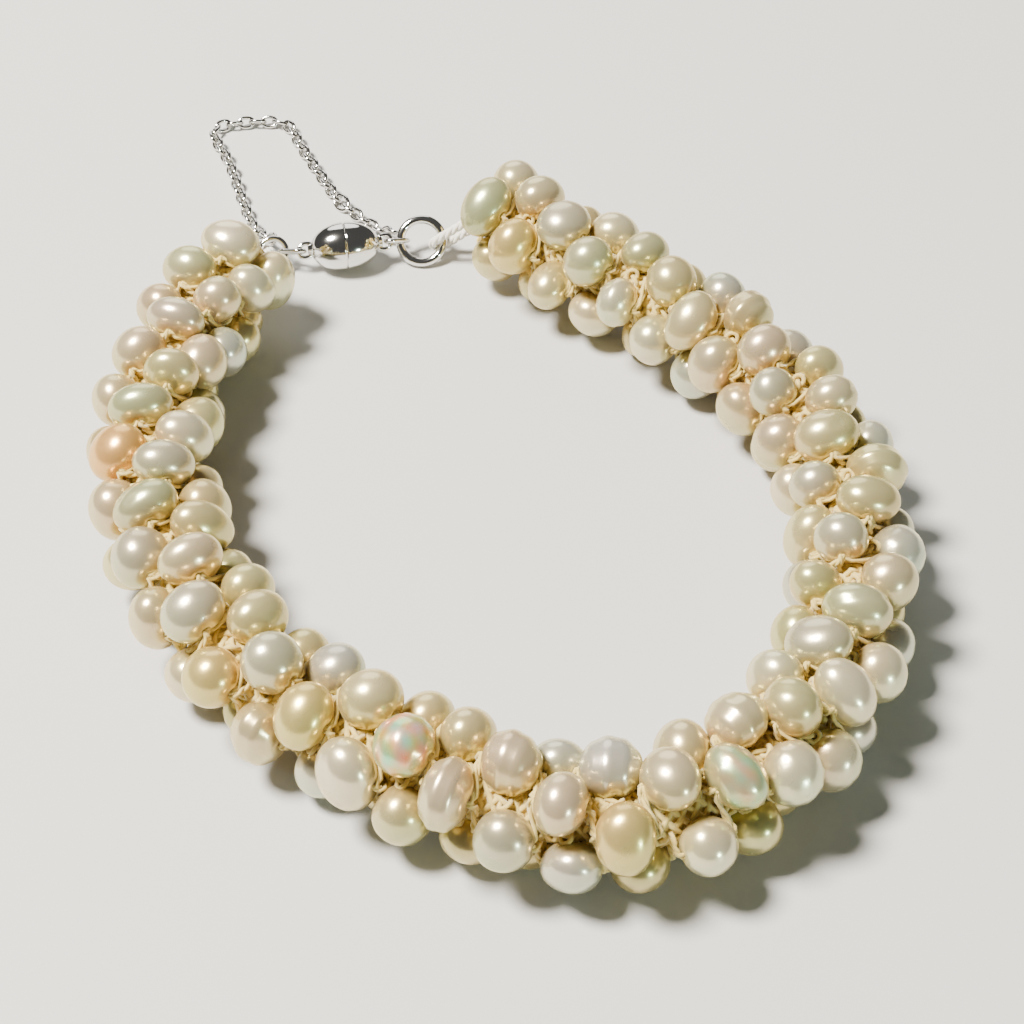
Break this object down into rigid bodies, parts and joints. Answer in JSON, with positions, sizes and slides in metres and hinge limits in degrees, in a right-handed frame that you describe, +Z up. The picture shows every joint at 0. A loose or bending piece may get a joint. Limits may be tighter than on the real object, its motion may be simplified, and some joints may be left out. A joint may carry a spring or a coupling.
{
  "type": "pearl bracelet",
  "caption": "Thick crocheted rope of freshwater pearls lying in a closed loop, with an olive-shaped magnetic clasp and a fine safety chain.",
  "frame": {"origin": "under the middle of the bracelet's box, on the surface it lies on", "axes": "+Z up from the surface, +Y towards the clasp and the safety chain, +X to the right as seen with the clasp at the back"},
  "size_m": [0.0702, 0.1012, 0.012],
  "materials": {
    "pearl": "satin nacre of freshwater pearls on a cream thread core",
    "silver": "polished silver"
  },
  "bodies": {
    "root": {"pearl_rope_left": "pearl", "pearl_rope_right": "pearl", "jump_ring_left": "silver", "jump_ring_right": "silver", "link_left": "silver", "link_right": "silver", "clasp_half_left": "silver", "clasp_half_right": "silver", "safety_chain": "silver"}
  },
  "joints": []
}
